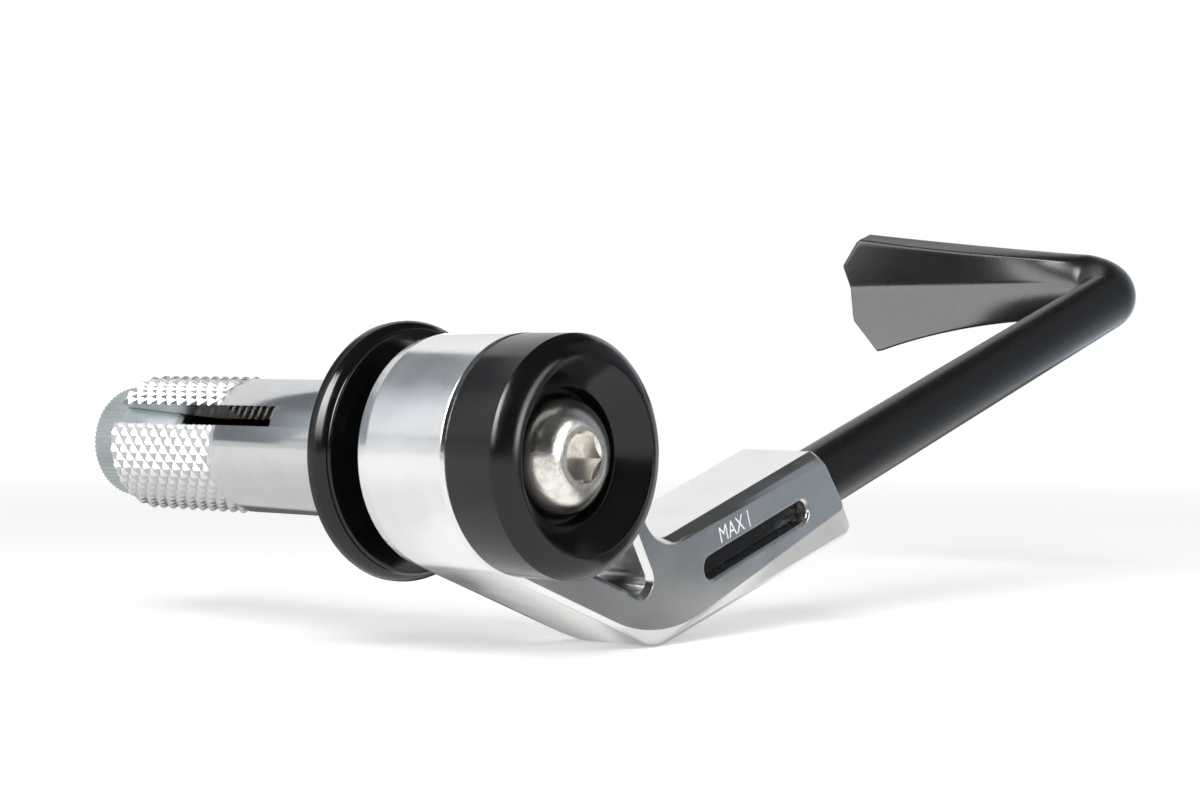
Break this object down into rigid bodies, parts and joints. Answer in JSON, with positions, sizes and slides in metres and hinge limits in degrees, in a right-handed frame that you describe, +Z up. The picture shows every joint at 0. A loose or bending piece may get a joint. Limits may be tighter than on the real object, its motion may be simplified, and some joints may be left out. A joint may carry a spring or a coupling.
{
  "type": "brake lever guard",
  "caption": "Bar-end mounted guard for a motorbike brake lever: expanding plug, swivelling cranked arm, sliding rod and flared blade.",
  "frame": {"origin": "centre of the bar-end seat, the flange's inner face, on the handlebar axis", "axes": "+X outward along the handlebar, +Y forward past the lever, +Z up"},
  "size_m": [0.0779, 0.1555, 0.055],
  "materials": {
    "anodised_black": "gloss",
    "bare_aluminium": "turned",
    "satin_aluminium": "satin",
    "guard_black": "satin",
    "stainless": "tumbled",
    "nut_steel": "plated",
    "screw_black": "blackened"
  },
  "bodies": {
    "bar_clamp": {"expander_sleeve": "bare_aluminium", "bar_flange": "anodised_black", "end_cap": "anodised_black"},
    "bolt": {"clamp_bolt": "stainless"},
    "nut": {"cone_nut": "nut_steel"},
    "arm": {"mounting_arm": "satin_aluminium", "set_screws": "screw_black"},
    "guard": {"lever_guard": "guard_black"}
  },
  "joints": [
    {"name": "bolt_turn", "type": "hinge", "parent": "bar_clamp", "child": "bolt", "pos_m": [0, 0, 0], "axis": [1, 0, 0], "range_deg": [0, 720]},
    {"name": "nut_draw", "type": "slide", "parent": "bar_clamp", "child": "nut", "axis": [1, 0, 0], "range_m": [-0.0026, 0.0001]},
    {"name": "arm_swivel", "type": "hinge", "parent": "bar_clamp", "child": "arm", "pos_m": [0, 0, 0], "axis": [1, 0, 0], "continuous": true},
    {"name": "guard_slide", "type": "slide", "parent": "arm", "child": "guard", "axis": [0, 0.9451, 0.3267], "range_m": [-0.0009, 0.0115]}
  ],
  "couplings": [
    {"joint": "nut_draw", "follows": "bolt_turn", "m_per_rad": -0.0001989}
  ]
}
